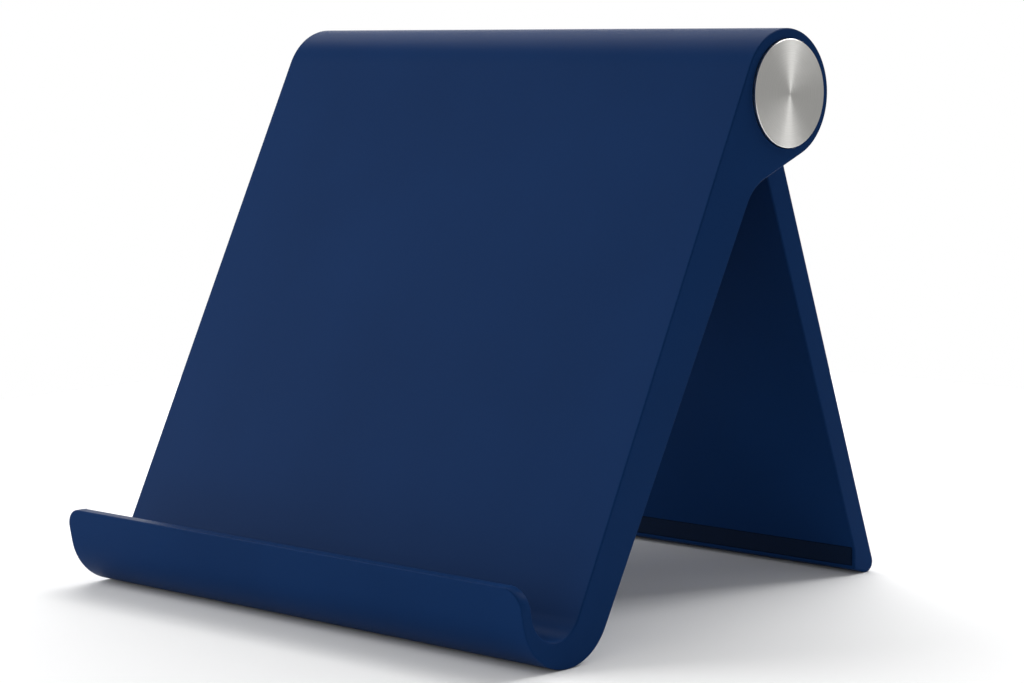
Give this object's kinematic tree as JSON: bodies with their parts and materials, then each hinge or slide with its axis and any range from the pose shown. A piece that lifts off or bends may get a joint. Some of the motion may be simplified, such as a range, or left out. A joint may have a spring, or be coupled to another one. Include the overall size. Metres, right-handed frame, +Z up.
{
  "type": "tablet stand",
  "caption": "Folding desk stand for a tablet: leaning panel with a J-shaped hook, rear leg on a friction hinge in the panel's barrel, spun aluminium discs on the barrel's ends.",
  "frame": {"origin": "under the middle of the whole stand, on the table it stands on, with the leg as drawn", "axes": "+X across the stand along the hinge, -Y the side that the tablet rests on, +Z up"},
  "size_m": [0.1056, 0.096, 0.0911],
  "materials": {
    "navy_abs": "satin moulded",
    "black_rubber": "matte",
    "spun_aluminium": "spun, with fine rings",
    "plated_steel": "zinc plated",
    "spring_steel": "blued",
    "natural_nylon": "matte",
    "white_tape": "matte"
  },
  "bodies": {
    "panel": {"front_panel": "navy_abs", "panel_back_cover": "navy_abs", "hook_foot_strip": "black_rubber", "right_end_cap": "spun_aluminium", "left_end_cap": "spun_aluminium", "right_cap_tape": "white_tape", "left_cap_tape": "white_tape", "right_cap_seat": "navy_abs", "left_cap_seat": "navy_abs", "hinge_axle": "plated_steel", "right_lock_nut": "plated_steel", "left_lock_nut": "plated_steel", "right_thrust_washer": "plated_steel", "left_thrust_washer": "plated_steel", "right_spring_washers": "spring_steel", "left_spring_washers": "spring_steel", "right_key_plate": "spring_steel", "left_key_plate": "spring_steel"},
    "leg": {"rear_leg": "navy_abs", "leg_foot_strip": "black_rubber", "right_knuckle_bush": "natural_nylon", "left_knuckle_bush": "natural_nylon", "right_friction_washer": "natural_nylon", "left_friction_washer": "natural_nylon"}
  },
  "joints": [
    {"name": "leg_hinge", "type": "hinge", "parent": "panel", "child": "leg", "pos_m": [0, 0.013, 0.0811], "axis": [1, 0, 0], "range_deg": [-49, 51]}
  ]
}
